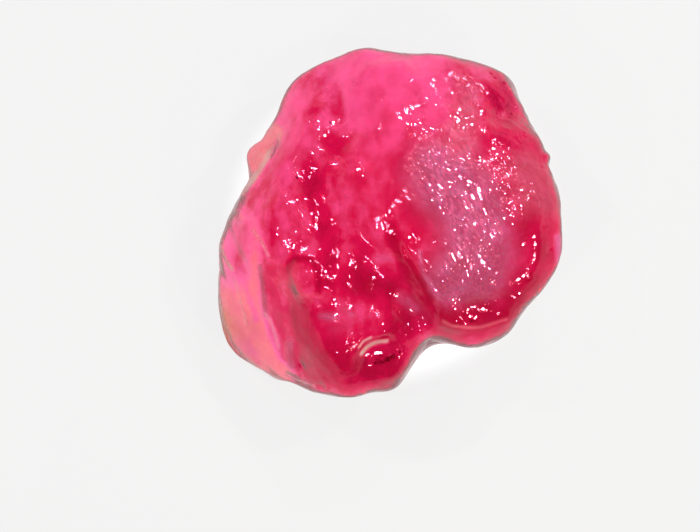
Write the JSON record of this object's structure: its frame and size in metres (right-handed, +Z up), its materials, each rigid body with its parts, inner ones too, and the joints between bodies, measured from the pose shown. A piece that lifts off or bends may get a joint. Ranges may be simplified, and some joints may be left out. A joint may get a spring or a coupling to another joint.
{
  "type": "raw ruby crystal",
  "caption": "Rough, uncut ruby: a worn and etched see-through pinkish-red corundum nugget that lies on a flat parting face.",
  "frame": {"origin": "middle of the crystal's box in plan, on the flat parting face that it lies on", "axes": "+Z up through the crystal's thickness; +X towards the broad frosted face, +Y towards the end away from the notch"},
  "size_m": [0.0154, 0.0156, 0.0091],
  "materials": {
    "ruby": "wet-looking etched gloss over see-through pinkish red, with one frosted lilac face"
  },
  "bodies": {
    "root": {"ruby_crystal": "ruby"}
  },
  "joints": []
}
